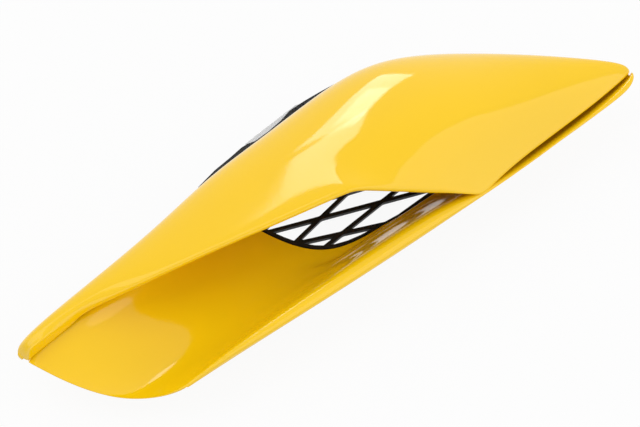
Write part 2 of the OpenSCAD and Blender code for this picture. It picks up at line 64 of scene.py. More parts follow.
towards_camera = Vector((
    math.sin(AZIMUTH) * math.cos(ELEVATION),
    -math.cos(AZIMUTH) * math.cos(ELEVATION),
    math.sin(ELEVATION),
))
camera = bpy.data.objects.new("camera", bpy.data.cameras.new("camera"))
camera.data.sensor_width = SENSOR
camera.data.lens = SENSOR * DISTANCE / (PIXEL * PICTURE_WIDTH)
camera.data.clip_start = 0.05
camera.data.clip_end = 50
camera.location = AIM + towards_camera * DISTANCE
camera.rotation_mode = "QUATERNION"
camera.rotation_quaternion = (-towards_camera).to_track_quat("-Z", "Y")
bpy.context.collection.objects.link(camera)
bpy.context.scene.camera = camera
bpy.context.scene.view_settings.view_transform = "Standard"


# Studio: a white cove with soft boxes round the scoop. The room is white where it is seen,
# and lights a little lower. Each box leaves one of the highlights on the lacquer.
ROOM_SEEN = 0.985
ROOM_LIGHT = 0.56


def node_tree(owner):
    """Empty node tree of a material or of the world."""
    owner.use_nodes = True
    owner.node_tree.nodes.clear()
    return owner.node_tree


def add(tree, kind, **values):
    """Adds a node. Names with a capital set its sockets, the others its own settings."""
    node = tree.nodes.new("ShaderNode" + kind)
    for name, value in values.items():
        if name[0].isupper():
            node.inputs[name.replace("_", " ")].default_value = value
        else:
            setattr(node, name, value)
    return node


def link(tree, source, target, socket):
    """Links an output, or a node's first one, to a named or numbered socket of the target."""
    output = source.outputs[0] if hasattr(source, "outputs") else source
    tree.links.new(output, target.inputs[socket])


def seen_as_such(tree):
    """1 for rays from the camera, from a mirroring surface or through glass, else 0."""
    path = add(tree, "LightPath")
    mirrored = add(tree, "Math", operation="MAXIMUM")
    link(tree, path.outputs["Is Camera Ray"], mirrored, 0)
    link(tree, path.outputs["Is Glossy Ray"], mirrored, 1)
    through = add(tree, "Math", operation="MAXIMUM")
    link(tree, mirrored, through, 0)
    link(tree, path.outputs["Is Transmission Ray"], through, 1)
    return through


world = bpy.data.worlds.new("studio")
bpy.context.scene.world = world
tree = node_tree(world)
room = add(tree, "MixShader")
link(tree, seen_as_such(tree), room, 0)
link(tree, add(tree, "Background", Color=(1, 1, 1, 1), Strength=ROOM_LIGHT), room, 1)
link(tree, add(tree, "Background", Color=(1, 1, 1, 1), Strength=ROOM_SEEN), room, 2)
link(tree, room, add(tree, "OutputWorld"), "Surface")


def soft_box(name, azimuth, elevation, turn, size, radiance, distance=12):
    """Soft box in a direction from the scoop's middle, turned about that direction, facing the scoop."""
    lamp = bpy.data.lights.new(name, "AREA")
    lamp.shape = "RECTANGLE"
    lamp.size, lamp.size_y = size
    lamp.energy = radiance * math.pi * size[0] * size[1]
    box = bpy.data.objects.new(name, lamp)
    a, e = math.radians(azimuth), math.radians(elevation)
    out = Vector((math.sin(a) * math.cos(e), -math.cos(a) * math.cos(e), math.sin(e)))
    box.location = AIM + out * distance
    box.rotation_mode = "QUATERNION"
    box.rotation_quaternion = (-out).to_track_quat("-Z", "Y") @ Matrix.Rotation(math.radians(turn), 3, "Z").to_quaternion()
    bpy.context.collection.objects.link(box)


BOXES = {
    "hood_box": (144, 25, 52, (4.6, 2.5), 4.2),
    "hood_end": (151, 38.6, -4, (2.45, 2.4), 4.2),
    "hood_core": (145, 28.5, 52, (2.2, 1.7), 2.8),
    "side_screen": (22, 20, 0, (20, 15), 1.1),
    "back_box": (230, 58, 0, (12, 12), 1.35),
}
for name, setting in BOXES.items():
    soft_box(name, *setting)

# Floor: a pale matt board under the tip of the longest stud. It reads as white where it is seen
# and keeps a faint shadow of the scoop.
FLOOR_SIDE = 30
FLOOR_WHITE = 0.7
FLOOR_GLOW = 0.93
FLOOR_GAP = 0.0005

half, floor_z = FLOOR_SIDE / 2, cad_box[0].z - FLOOR_GAP
floor_mesh = bpy.data.meshes.new("floor")
corners = [(x, y, floor_z) for x, y in ((-half, -half), (half, -half), (half, half), (-half, half))]
floor_mesh.from_pydata(corners, [], [(0, 1, 2, 3)])
floor = bpy.data.objects.new("floor", floor_mesh)
bpy.context.collection.objects.link(floor)
board = bpy.data.materials.new("pale_board")
tree = node_tree(board)
matt = add(tree, "BsdfDiffuse", Color=(FLOOR_WHITE, FLOOR_WHITE, FLOOR_WHITE, 1))
paper = add(tree, "MixShader", Fac=FLOOR_GLOW)
link(tree, matt, paper, 1)
link(tree, add(tree, "Emission", Color=(1, 1, 1, 1), Strength=1), paper, 2)
sheet = add(tree, "MixShader")
link(tree, seen_as_such(tree), sheet, 0)
link(tree, matt, sheet, 1)
link(tree, paper, sheet, 2)
link(tree, sheet, add(tree, "OutputMaterial"), "Surface")
floor_mesh.materials.append(board)

# Outer shell: the hood and its side, one panel formed from plastic sheet under yellow gloss lacquer.
# Along its foot it turns inward into a flange that lies on the car, and round its mouth it is hemmed.
# Its sections are laid out in millimetres about the styling origin: X rearward, Y inboard, Z up.
SHELL_T = 2.5
SEAT_GAP = 0.3
STYLING_ORIGIN = np.array([0, -52, 1.8])
GRILLE_LOW = -20
GRILLE_LOW_Y = -45
GRILLE_SLOPE = 0.17
shell_x = [-33, -32, -20, 15, 80, 150, 225, 300, 370, 440, 510, 575, 628, 643, 643]
flange_line = [
    [49, -7], [46, -4], [46, 0], [46, 0], [47, 1], [54, 2], [66, 3], [76, 4], [80, 5], [72, 5],
    [38, 4], [-20, 3], [-57, 1], [-69, 0], [-70, 0],
]
foot_line = [
    [54, -7], [58, -4], [60, 0], [64, 0], [69, 1], [77, 2], [91, 3], [93, 4], [98, 5], [96, 5],
    [60, 4], [0, 3], [-52, 1], [-66, 0], [-67, 0],
]
wall_line = [
    [54.5, -5.4], [58, 1], [59, 7], [63, 9], [68, 11], [76, 13], [90, 16], [92, 20], [97, 24], [95, 25],
    [58, 21], [-2, 15], [-55, 8], [-67, 4], [-68, 3],
]
shoulder_line = [
    [52, -4.6], [52, 7], [53, 15], [55, 21], [60, 26], [66, 32], [77, 40], [75, 48], [76, 58], [73, 60],
    [37, 42], [-13, 31], [-57, 17], [-69, 8], [-70, 5],
]
crown_line = [
    [47, -4.2], [47, 10], [48, 17], [46, 24], [44, 31], [38, 40], [30, 52], [20, 66], [10, 75], [3, 71],
    [-12, 52], [-40, 36], [-64, 19], [-71, 9], [-72, 5],
]
brow_line = [
    [42.5, -2.5], [43, 9], [43, 16], [41, 22], [32, 31], [16, 43], [-4, 57], [-24, 71], [-40, 73], [-52, 58],
    [-60, 40], [-67, 26], [-73, 14], [-75, 7], [-74, 5],
]
nose_ramp = [0.02, 0.85, 1, 1, 1, 1, 1, 1, 1, 1, 1, 1, 1, 0.8, 0.5]
rim_rise = [15, 15, 15, 14.5, 29, 45.5, 58.5, 74, 90, 102, 112, 122, 132, 142, 142]
rear_edge_y = [-140, -140, -140, -140, -140, -140, -140, -130, -108, -93, -89, -87, -81, -76, -75]
rear_edge_z = [0, 0, 0, 0, 0, 0, 0, 0, 5, 9.5, 8, 8.5, 7, 4.5, 3]
MOUTH_X = 35
MOUTH_Y = 38
MOUTH_SLOPE = 0.3706
CORNER_X = 402
CORNER_Z = 15
CORNER_FALL = 0.47
CORNER_DROP = 3.5
CORNER_RUN = (362, 405)
HEM_DEPTH = 10
HEM_DROP = (6, 2.5)
HEM_END_DROP = (9, 2)
HEM_CHANGE = (358, 398)
SEAM_START = 5
SEAM_X = -9
SEAM_CLIMB = 0.165
NOSE_DROOP = 1.2
NOSE_RUN = (-33, -28)
WALL_RUN = (15, 70)
RIM_BLEND, SIDE_BLEND, EDGE_BLEND = 2.5, 1.5, 1.2
ONTO_GRILLE = (185, 215)
OFF_GRILLE = (482, 510)
FLANGE_FLAT = 0.65
HOLE_R = 2.2
FLANGE_V = 0.0445
grille_fixings = [0.455, 0.5, 0.56, 0.615]
panel_fixings = [0.3, 0.37, 0.735]


def guided(points, t):
    """Points at the shares t of a smooth curve led by the points and ending on the first and the last."""
    p = np.asarray(points, float)
    p = np.concatenate([[2 * p[0] - p[1]], p, [2 * p[-1] - p[-2]]])
    s = np.clip(np.atleast_1d(t), 0, 1) * (len(p) - 3)
    i = np.minimum(s.astype(int), len(p) - 4)
    f = (s - i).reshape(-1, *[1] * (p.ndim - 1))
    shares = (1 - f) ** 3, 3 * f**3 - 6 * f**2 + 4, -3 * f**3 + 3 * f**2 + 3 * f + 1, f**3
    return sum(w * p[i + k] for k, w in enumerate(shares)) / 6


def at(points, t):
    return guided(points, t)[0]


def mix(a, b, t):
    return a * (1 - t) + b * t


def ease(a, b, x):
    t = np.clip((x - a) / (b - a), 0, 1)
    return t * t * (3 - 2 * t)


def soft_max(a, b, r):
    return (a + b) / 2 + math.hypot((a - b) / 2, r)


def soft_min(a, b, r):
    return (a + b) / 2 - math.hypot((a - b) / 2, r)


def grille_plane(y):
    """Height of the tops of the grille's bars: the plane rises inboard from under the lip."""
    return GRILLE_LOW + GRILLE_SLOPE * (y - GRILLE_LOW_Y)


def over_grille(x):
    return ease(*ONTO_GRILLE, x) * (1 - ease(*OFF_GRILLE, x))


def on_seat(p, x):
    """Point of the flange or the foot, laid on the grille where there is one."""
    return np.array([p[0], mix(p[1], grille_plane(p[0]) + SEAT_GAP, over_grille(x))])


def mouth_edge(u, x):
    """The rim of the mouth: it rises along the hood, then falls to its rear corner."""
    side = soft_min(MOUTH_Y + 1, MOUTH_Y - (x - MOUTH_X) * MOUTH_SLOPE, RIM_BLEND)
    fall = CORNER_Z + CORNER_FALL * (CORNER_X - x) - CORNER_DROP * ease(*CORNER_RUN, x)
    arch = soft_min(at(rim_rise, u), fall, RIM_BLEND)
    return np.array([
        soft_max(side, at(rear_edge_y, u), SIDE_BLEND),
        soft_max(arch, at(rear_edge_z, u), EDGE_BLEND) * at(nose_ramp, u),
    ])


def shell_row(u, vs):
    """Points of one section of the shell, from the flange over the crown to the hem in the mouth."""
    x = at(shell_x, u)
    e = mouth_edge(u, x)
    k = at(nose_ramp, u)
    brow = at(brow_line, u)
    opened = ease(*WALL_RUN, x)
    rear = ease(*HEM_CHANGE, x)
    seam = max(0, SEAM_START + (x - SEAM_X) * SEAM_CLIMB) * k - NOSE_DROOP * (1 - ease(*NOSE_RUN, x))
    flange = on_seat(at(flange_line, u), x)
    foot = on_seat(at(foot_line, u), x)
    hem_z = e[1] - mix(*HEM_DROP, rear) * k
    hem_end_z = e[1] - mix(*HEM_END_DROP, rear) * k
    section = [
        flange,
        mix(flange, foot, FLANGE_FLAT),
        foot,
        at(wall_line, u),
        at(shoulder_line, u),
        at(crown_line, u),
        brow,
        mix(e, brow, 0.25) + [0, k],
        e,
        [e[0] + opened / 2, mix((e[1] + seam) / 2, hem_z, opened)],
        [mix(MOUTH_Y + 1, e[0] + HEM_DEPTH, opened), mix(seam, hem_end_z, opened)],
    ]
    points = guided(section, vs)
    return np.column_stack([np.full(len(points), x), points])


def placed(points):
    """From the styling origin in millimetres to the part's own origin in metres."""
    return (np.asarray(points) + STYLING_ORIGIN) / 1000


def facing_out(mesh):
    """Turns the faces of a closed mesh outward."""
    shape = bmesh.new()
    shape.from_mesh(mesh)
    bmesh.ops.recalc_face_normals(shape, faces=shape.faces)
    if shape.calc_volume(signed=True) < 0:
        bmesh.ops.reverse_faces(shape, faces=shape.faces)
    shape.to_mesh(mesh)
    shape.free()


def finished(name, mesh, sharp_angle=42):
    """Object of a mesh, smooth but for its sharp edges."""
    mesh.validate()
    facing_out(mesh)
    mesh.shade_smooth()
    mesh.set_sharp_from_angle(angle=math.radians(sharp_angle))
    made = bpy.data.objects.new(name, mesh)
    bpy.context.collection.objects.link(made)
    return made


def rolled_edge(front, rear, end, step, bends):
    """Draws both faces back from a long edge and returns the half round that joins them."""
    out = front[end] - front[step]
    run = max(np.linalg.norm(out), 1e-6)
    out = out / run
    radius = min(np.linalg.norm(front[end] - rear[end]) / 2, run * 0.9)
    front[end] -= out * radius
    rear[end] -= out * radius
    middle, reach = (front[end] + rear[end]) / 2, (front[end] - rear[end]) / 2
    turns = np.linspace(0, math.pi, bends + 2)[1:-1, None]
    return middle + reach * np.cos(turns) + out * radius * np.sin(turns)


def panel(name, grid, thickness, bends=4):
    """Closed panel behind a grid of points, as thick as told at each point, with rolled long edges."""
    inward = np.cross(np.gradient(grid, axis=0), np.gradient(grid, axis=1))
    inward /= np.maximum(np.linalg.norm(inward, axis=2, keepdims=True), 1e-4)
    behind = grid + inward * thickness[:, :, None]
    rows, columns = thickness.shape
    rings = []
    for i in range(rows):
        front, rear = grid[i].copy(), behind[i].copy()
        far_edge = rolled_edge(front, rear, -1, -2, bends)
        near_edge = rolled_edge(front, rear, 0, 1, bends)
        rings.append(np.concatenate([front, far_edge, rear[::-1], near_edge[::-1]]))
    size = len(rings[0])
    faces = [
        (r * size + i, r * size + (i + 1) % size, (r + 1) * size + (i + 1) % size, (r + 1) * size + i)
        for r in range(rows - 1)
        for i in range(size)
    ]
    back = 2 * columns + bends - 1
    for start, turn in ((0, 1), ((rows - 1) * size, -1)):
        for j in range(columns - 1):
            quad = (start + j, start + back - j, start + back - j - 1, start + j + 1)
            faces.append(quad[::turn])
        far_cap = [start + i for i in range(columns - 1, columns + bends + 1)]
        near_cap = [start + i for i in range(back, size)] + [start]
        faces += [tuple(far_cap[::-turn]), tuple(near_cap[::-turn])]
    mesh = bpy.data.meshes.new(name)
    mesh.from_pydata(placed(np.concatenate(rings)).tolist(), [], faces)
    return finished(name, mesh)


def shell_place(u):
    """Seat and tilt of a fixing on the inboard flange, at a share of the shell's length."""
    spot = shell_row(u, [FLANGE_V])[0]
    return Vector(placed(spot)), Matrix.Rotation(math.atan(GRILLE_SLOPE) * over_grille(spot[0]), 3, "X")


def cut_away(piece, cutter, how="DIFFERENCE"):
    """Cuts a piece with a closed shape, which is used up."""
    cut = piece.modifiers.new("cut", "BOOLEAN")
    cut.operation = how
    cut.solver = "EXACT"
    cut.object = cutter
    bpy.context.view_layer.update()
    whole = piece.evaluated_get(bpy.context.evaluated_depsgraph_get())
    mesh = bpy.data.meshes.new_from_object(whole)
    facing_out(mesh)
    piece.modifiers.clear()
    piece.data = mesh
    bpy.data.objects.remove(cutter)


def drilled(piece, places, reach=0.04, segments=32):
    """Drills the fixing holes through a panel, each along its own tilted axis."""
    shape = bmesh.new()
    for spot, tilt in places:
        made = bmesh.ops.create_cone(
            shape, cap_ends=True, segments=segments, radius1=HOLE_R / 1000, radius2=HOLE_R / 1000, depth=reach
        )
        bmesh.ops.rotate(shape, verts=made["verts"], cent=(0, 0, 0), matrix=tilt)
        bmesh.ops.translate(shape, verts=made["verts"], vec=spot)
    mesh = bpy.data.meshes.new("drill")
    shape.to_mesh(mesh)
    shape.free()
    drill = bpy.data.objects.new("drill", mesh)
    bpy.context.collection.objects.link(drill)
    cut_away(piece, drill)


def wall_share(us, vs, nose, tail, thinning):
    """Share of the full wall: panels thin out towards the nose, the tail and the rolled edge."""
    along = mix(0.3, 1, ease(0, nose, us) * ease(0, tail, 1 - us))
    return np.outer(along, 1 - thinning * ease(0.75, 0.9, vs))


us = np.linspace(0, 1, 221)
us = us + 0.0275 * np.sin(2 * math.pi * us) - 0.012 * np.sin(4 * math.pi * us)
vs = np.concatenate([np.linspace(0, 0.7, 60, endpoint=False), np.linspace(0.7, 1, 81)])
grid = np.array([shell_row(u, vs) for u in us])
shell = panel("shell_panel", grid, SHELL_T * wall_share(us, vs, 0.06, 0.1, 0.4))
drilled(shell, [shell_place(u) for u in grille_fixings + panel_fixings])


def group(name, inputs, outputs):
    """Empty shader group with named sockets, and its two end nodes."""
    made = bpy.data.node_groups.new(name, "ShaderNodeTree")
    for socket, kind, value in inputs:
        new = made.interface.new_socket(name=socket, in_out="INPUT", socket_type="NodeSocket" + kind)
        new.default_value = value
    for socket, kind in outputs:
        made.interface.new_socket(name=socket, in_out="OUTPUT", socket_type="NodeSocket" + kind)
    return made, made.nodes.new("NodeGroupInput").outputs, made.nodes.new("NodeGroupOutput")


def noise(tree, scale, detail, stretch=(1, 1, 1)):
    """Noise fixed to the object, in bumps to the metre, drawn out along an axis by a small stretch."""
    where = add(tree, "Mapping", Scale=stretch)
    link(tree, add(tree, "TexCoord").outputs["Object"], where, "Vector")
    made = add(tree, "TexNoise", Scale=scale, Detail=detail)
    link(tree, where, made, "Vector")
    return made.outputs["Fac"]


def ranged(tree, value, low, high, start=0.3, end=0.7):
    """Brings a value that runs from start to end to the range from low to high."""
    made = add(tree, "MapRange")
    link(tree, value, made, "Value")
    for socket, limit in (("From Min", start), ("From Max", end), ("To Min", low), ("To Max", high)):
        if isinstance(limit, (int, float)):
            made.inputs[socket].default_value = limit
        else:
            link(tree, limit, made, socket)
    return made.outputs[0]


def worked(tree, operation, a, b):
    """Result of a sum on two values, each a number or a socket."""
    made = add(tree, "Math", operation=operation)
    for i, value in enumerate((a, b)):
        if isinstance(value, (int, float)):
            made.inputs[i].default_value = value
        else:
            link(tree, value, made, i)
    return made.outputs[0]


def shaded(tree, colour, share):
    made = add(tree, "VectorMath", operation="SCALE")
    link(tree, colour, made, 0)
    link(tree, share, made, "Scale")
    return made.outputs[0]


# Lacquer film: the colour drifts a little in depth, the coat has a soft orange peel, and fine dust
# in it varies the gloss of the base.
lacquer_film, given, result = group(
    "lacquer_film",
    [("Colour", "Color", (1, 1, 1, 1)), ("Drift", "Float", 0.03), ("Peel", "Float", 0.02), ("Dull", "Float", 0.3)],
    [("Color", "Color"), ("Roughness", "Float"), ("Normal", "Vector")],
)
tree = lacquer_film
depth = ranged(tree, noise(tree, 7, 2), worked(tree, "SUBTRACT", 1, given["Drift"]), 1)
link(tree, shaded(tree, given["Colour"], depth), result, "Color")
gloss = ranged(tree, noise(tree, 900, 3), given["Dull"], worked(tree, "ADD", given["Dull"], 0.08))
link(tree, gloss, result, "Roughness")
peel = add(tree, "Bump", Distance=0.0004)
link(tree, given["Peel"], peel, "Strength")
link(tree, noise(tree, 260, 1), peel, "Height")
link(tree, peel, result, "Normal")


def placed_group(tree, made, **values):
    node = tree.nodes.new("ShaderNodeGroup")
    node.node_tree = made
    for name, value in values.items():
        node.inputs[name].default_value = (*value, 1) if isinstance(value, tuple) else value
    return node


def lacquer(name, **film_values):
    """Two-layer gloss paint: a coloured base under a clear coat."""
    made = bpy.data.materials.new(name)
    tree = node_tree(made)
    film = placed_group(tree, lacquer_film, **film_values)
    paint = add(tree, "BsdfPrincipled", IOR=1.45, Specular_IOR_Level=0.0, Coat_IOR=1.42)
    paint.inputs["Coat Weight"].default_value = 1.0
    paint.inputs["Coat Roughness"].default_value = 0.07
    link(tree, film.outputs["Color"], paint, "Base Color")
    link(tree, film.outputs["Roughness"], paint, "Roughness")
    link(tree, film.outputs["Normal"], paint, "Normal")
    link(tree, film.outputs["Normal"], paint, "Coat Normal")
    link(tree, paint, add(tree, "OutputMaterial"), "Surface")
    return made


YELLOW = (0.93, 0.58, 0.004)


def dressed(piece, node, material):
    """Gives a piece its material, ties it to the body and lets it stand for its node."""
    piece.data.materials.clear()
    piece.data.materials.append(material)
    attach(piece, "root")
    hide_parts(node)


dressed(shell, "outer_shell", lacquer("yellow_lacquer", Colour=YELLOW, Drift=0.03, Peel=0.04, Dull=0.3))

# Duct panel: the floor, the inner wall and the rolled lip of the air duct, formed in one panel under
# the same lacquer. Its margin lies on the shell's flange, and three screws hold it there.
DUCT_T = 2.5
MARGIN_LIFT = SHELL_T + DUCT_T + 3 * SEAT_GAP
OPENING_Y = -45
FRONT_X = 232.5
FRONT_RISE = 70
FRONT_RUN = 21
REAR_X = 478
REAR_RISE = 120
REAR_RUN = 9
DRIFT_X = 330
DRIFT = 0.075
LAND_X = 150
LAND_RISE = 0.8
LAND_FADE = (5, 40)
FLANGE_FADE = (-28, -12)
SIDE_FADE = (0, 8)
margin_y = [54, 63, 75, 82, 86, 80, 46, -12]
top_y = [42, 49, 61, 70, 74, 66, 32, -26]
wall_foot_line = [
    [-30, 24, -2], [-13, 24, -3], [20, 24, -4], [80, 32, -4], [150, 40, -4], [225, 52, -4], [300, 60, -5],
    [370, 62, -6], [440, 54, -6], [510, 22, -6], [575, -30, -5], [625, -67, -2], [642, -73, -0.5], [642, -74, -0.5],
]
floor_line = [
    [-20, -4, -7], [-5, -4, -11], [25, -4, -16], [80, 2, -16.5], [150, 14, -14], [225, 16, -8.5], [300, 10, -8.4],
    [370, 5, -10], [440, 0, -12], [510, -20, -13], [575, -45, -9], [625, -70, -4], [642, -74, -1.5], [642, -75, -1],
]
trough_line = [
    [4, -38, -18.5], [10, -38, -20.5], [38, -40, -25], [85, -41, -25.5], [150, -35, -23.5], [225, -38, -22],
    [300, -42, -20], [370, -43, -19.5], [440, -49, -18.5], [510, -58, -15], [575, -66, -8], [625, -74, -4],
    [642, -76, -2], [642, -76, -1.5],
]
side_line = [
    [31, -65, -15], [38, -66, -15], [60, -68, -14], [96, -68, -12], [150, -67, -8], [225, -67, -4],
    [300, -68, -1], [370, -70, -1], [440, -74, -4], [510, -77, -9], [575, -77, -7], [625, -78, -3],
    [642, -78, 0], [642, -77, 0],
]
crest_line = [
    [48, -75, -8], [54, -77, -5], [70, -78.5, 1.5], [100, -80, 9.5], [150, -83, 16], [225, -85, 20], [300, -87.5, 20.5],
    [370, -90, 18], [440, -95, 3.5], [510, -94, 5], [575, -92, 6], [625, -88, 8], [641, -81, 7], [643, -78, 5],
]
outer_line = [
    [52, -77, -7], [58, -79, -5.5], [74, -81.5, -1], [103, -86, 4], [150, -93, 8], [225, -99, 10.5],
    [300, -101, 11], [370, -102, 10], [440, -100, 3.4], [510, -98, 5], [575, -97, 6], [625, -96.5, 3],
    [643, -84, 3], [644, -79, 3],
]
underlip_line = [
    [54, -78, -8], [58, -78.5, -7.5], [72, -80, -6], [102, -83, -3], [150, -88, 1], [225, -92, 2], [300, -95, 2],
    [370, -96, 2], [440, -96, 2], [510, -95, 1], [575, -94, 0], [625, -88, 0], [641, -80, 0], [642, -78, 0],
]


def seated(ys):
    """Points of the margin that lie on top of the shell's flange."""
    return [[shell_x[i + 4], y, flange_line[i + 4][1] + MARGIN_LIFT] for i, y in enumerate(ys)]


margin_line = [
    [-33.6, 38.6, -1.6], [-24, 42.5, 1.4], [20, 41, 8], *seated(margin_y), [625, -61.5, 6], [642, -72.5, 1],
    [642, -73, 1],
]
top_line = [
    [-33.6, 38.2, -1.7], [-24, 40.5, 1.4], [20, 39, 8.6], *seated(top_y), [625, -65, 5.5], [642, -73, 0.5],
    [642, -73.5, 0.5],
]
duct_lines = [
    margin_line, top_line, wall_foot_line, floor_line, trough_line, side_line, crest_line, outer_line, underlip_line
]


def opening_edge(x):
    """Y of the edge of the grille's opening at X."""
    front = FRONT_RISE * np.exp((FRONT_X - x) / FRONT_RUN)
    rear = REAR_RISE * np.exp((x - REAR_X) / REAR_RUN)
    return OPENING_Y + front - DRIFT * np.maximum(0, x - DRIFT_X) + rear


def off_edge(x, y):
    """Distance of a point outside the opening from its edge."""
    height = np.maximum(0.001, y - OPENING_Y)
    front_end = FRONT_X - FRONT_RUN * np.log(height / FRONT_RISE)
    rear_end = REAR_X + REAR_RUN * np.log(height / REAR_RISE)
    dx = np.maximum(front_end - x, x - rear_end)
    dy = np.maximum(0, opening_edge(x) - y)
    return dx * dy / np.maximum(np.hypot(dx, dy), 1e-9)


def on_land(p):
    """Points of the duct laid into the flat land round the grille's opening."""
    x, y, z = p.T
    inner = np.interp(x, shell_x[2:13], [q[0] for q in flange_line[2:13]])
    share = (1 - ease(*LAND_FADE, off_edge(x, y))) * (1 - ease(*FLANGE_FADE, y - inner))
    share = np.where(x < LAND_X, 0, share * (1 - ease(*SIDE_FADE, OPENING_Y - y)))
    return np.column_stack([x, y, mix(z, grille_plane(y) + LAND_RISE, share)])


def crossing(section, y, steps=16):
    """Share of a section at which it crosses the edge of the opening."""
    low, high = 0, 0.6
    for _ in range(steps):
        middle = (low + high) / 2
        if at(section, middle)[1] > y:
            low = middle
        else:
            high = middle
    return (low + high) / 2


LIP_V = 0.6


def duct_row(u, floor_share, lip_share):
    """One section: evenly spaced from the opening or the margin to the side of the lip, then over the lip."""
    section = np.array([at(line, u) for line in duct_lines])
    x = section[4][0]
    edge = opening_edge(x)
    start = crossing(section, edge) if x >= LAND_X and section[0][1] > edge else 0
    shares = np.concatenate([mix(start, LIP_V, floor_share), mix(LIP_V, 1, lip_share)])
    return on_land(guided(section, shares))


stretches = [(0, 0.36, 95), (0.36, 0.48, 90), (0.48, 0.6, 40), (0.6, 0.68, 65), (0.68, 1, 95)]
us = np.concatenate([np.linspace(a, b, n, endpoint=False) for a, b, n in stretches] + [[1]])
floor_share = np.linspace(0, 1, 50, endpoint=False)
lip_share = np.linspace(0, 1, 52)
grid = np.array([duct_row(u, floor_share, lip_share) for u in us])
even_vs = np.concatenate([mix(0, LIP_V, floor_share), mix(LIP_V, 1, lip_share)])
duct = panel("duct_moulding", grid, DUCT_T * wall_share(us, even_vs, 0.05, 0.08, 0.3))
drilled(duct, [shell_place(u) for u in panel_fixings])
DUCT_YELLOW = (0.93, 0.58, 0.004)
dressed(duct, "duct_panel", lacquer("duct_lacquer", Colour=DUCT_YELLOW, Drift=0.04, Peel=0.05, Dull=0.3))

# Grille: one moulding in black glass-filled plastic, with crossed bars in a rim. Its flange laps under
# the duct panel, and four screws hold its inboard strip under the shell's flange.
GRILLE_EDGE_R = 0.0006


def softened(name, node, radius, segments=2, limit=38):
    """Copy of a CAD piece with its hard edges rounded off."""
    shape = bmesh.new()
    shape.from_mesh(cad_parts[node].data)
    bmesh.ops.remove_doubles(shape, verts=shape.verts, dist=1e-5)
    bmesh.ops.dissolve_limit(shape, angle_limit=math.radians(1), verts=shape.verts, edges=shape.edges)
    bmesh.ops.dissolve_degenerate(shape, dist=1e-4, edges=shape.edges)
    mesh = bpy.data.meshes.new(name)
    shape.to_mesh(mesh)
    shape.free()
    made = finished(name, mesh, limit)
    rounding = made.modifiers.new("rounded_edges", "BEVEL")
    rounding.width = radius
    rounding.segments = segments
    rounding.limit_method = "ANGLE"
    rounding.angle_limit = math.radians(limit)
    rounding.harden_normals = True
    return made


# Moulded grain: a fine spark-eroded texture, flow marks that vary the gloss, and paler rubbed spots.
moulded_grain, given, result = group(
    "moulded_grain",
    [("Colour", "Color", (1, 1, 1, 1)), ("Grain", "Float", 0.2), ("Dull", "Float", 0.4), ("Rubbed", "Float", 0.3)],
    [("Color", "Color"), ("Roughness", "Float"), ("Normal", "Vector")],
)
tree = moulded_grain
rubbed = ranged(tree, noise(tree, 35, 4), 1, worked(tree, "ADD", 1, given["Rubbed"]), 0.45, 0.8)
link(tree, shaded(tree, given["Colour"], rubbed), result, "Color")
flow = ranged(tree, noise(tree, 60, 2), given["Dull"], worked(tree, "ADD", given["Dull"], 0.12))
link(tree, flow, result, "Roughness")
grain = add(tree, "Bump", Distance=0.0003)
link(tree, given["Grain"], grain, "Strength")
link(tree, noise(tree, 2200, 2), grain, "Height")
link(tree, grain, result, "Normal")


def moulding(name, specular=0.5, **grain_values):
    """Moulded plastic or rubber."""
    made = bpy.data.materials.new(name)
    tree = node_tree(made)
    skin = placed_group(tree, moulded_grain, **grain_values)
    paint = add(tree, "BsdfPrincipled", IOR=1.5, Specular_IOR_Level=specular)
    link(tree, skin.outputs["Color"], paint, "Base Color")
    link(tree, skin.outputs["Roughness"], paint, "Roughness")
    link(tree, skin.outputs["Normal"], paint, "Normal")
    link(tree, paint, add(tree, "OutputMaterial"), "Surface")
    return made


grille = softened("grille_moulding", "grille", GRILLE_EDGE_R)
grille_black = moulding("black_glass_filled", 0.3, Colour=(0.008, 0.008, 0.008), Grain=0.25, Dull=0.42, Rubbed=0.5)
dressed(grille, "grille", grille_black)

# Inboard bracket: a cropped strip of satin aluminium sheet under the grille's inboard strip, brushed
# along its length. Two rivets hold it at its rear end.
BRACKET_EDGE_R = 0.0003

# Handled metal: lines drawn along X by brushing or rolling, handling marks that dull it in patches,
# and a faint drift of shade.
handled_metal, given, result = group(
    "handled_metal",
    [("Colour", "Color", (1, 1, 1, 1)), ("Brushed", "Float", 0.2), ("Dull", "Float", 0.3), ("Marks", "Float", 0.1)],
    [("Color", "Color"), ("Roughness", "Float"), ("Normal", "Vector")],
)
tree = handled_metal
lines = noise(tree, 900, 3, (0.03, 1, 1))
patches = noise(tree, 45, 4)
tint = ranged(tree, patches, worked(tree, "SUBTRACT", 1, given["Marks"]), 1)
link(tree, shaded(tree, given["Colour"], tint), result, "Color")
dulled = ranged(tree, patches, given["Marks"], 0)
gloss = worked(tree, "ADD", worked(tree, "ADD", given["Dull"], dulled), worked(tree, "MULTIPLY", lines, 0.1))
link(tree, gloss, result, "Roughness")
scored = add(tree, "Bump", Distance=0.0002)
link(tree, given["Brushed"], scored, "Strength")
link(tree, lines, scored, "Height")
link(tree, scored, result, "Normal")


def metal(name, **metal_values):
    """Bare or plated metal."""
    made = bpy.data.materials.new(name)
    tree = node_tree(made)
    skin = placed_group(tree, handled_metal, **metal_values)
    paint = add(tree, "BsdfPrincipled", Metallic=1.0)
    link(tree, skin.outputs["Color"], paint, "Base Color")
    link(tree, skin.outputs["Roughness"], paint, "Roughness")
    link(tree, skin.outputs["Normal"], paint, "Normal")
    link(tree, paint, add(tree, "OutputMaterial"), "Surface")
    return made


bracket = softened("bracket_strip", "inboard_bracket", BRACKET_EDGE_R)
satin_sheet = metal("satin_sheet", Colour=(0.58, 0.58, 0.58), Brushed=0.25, Dull=0.32, Marks=0.08)
dressed(bracket, "inboard_bracket", satin_sheet)

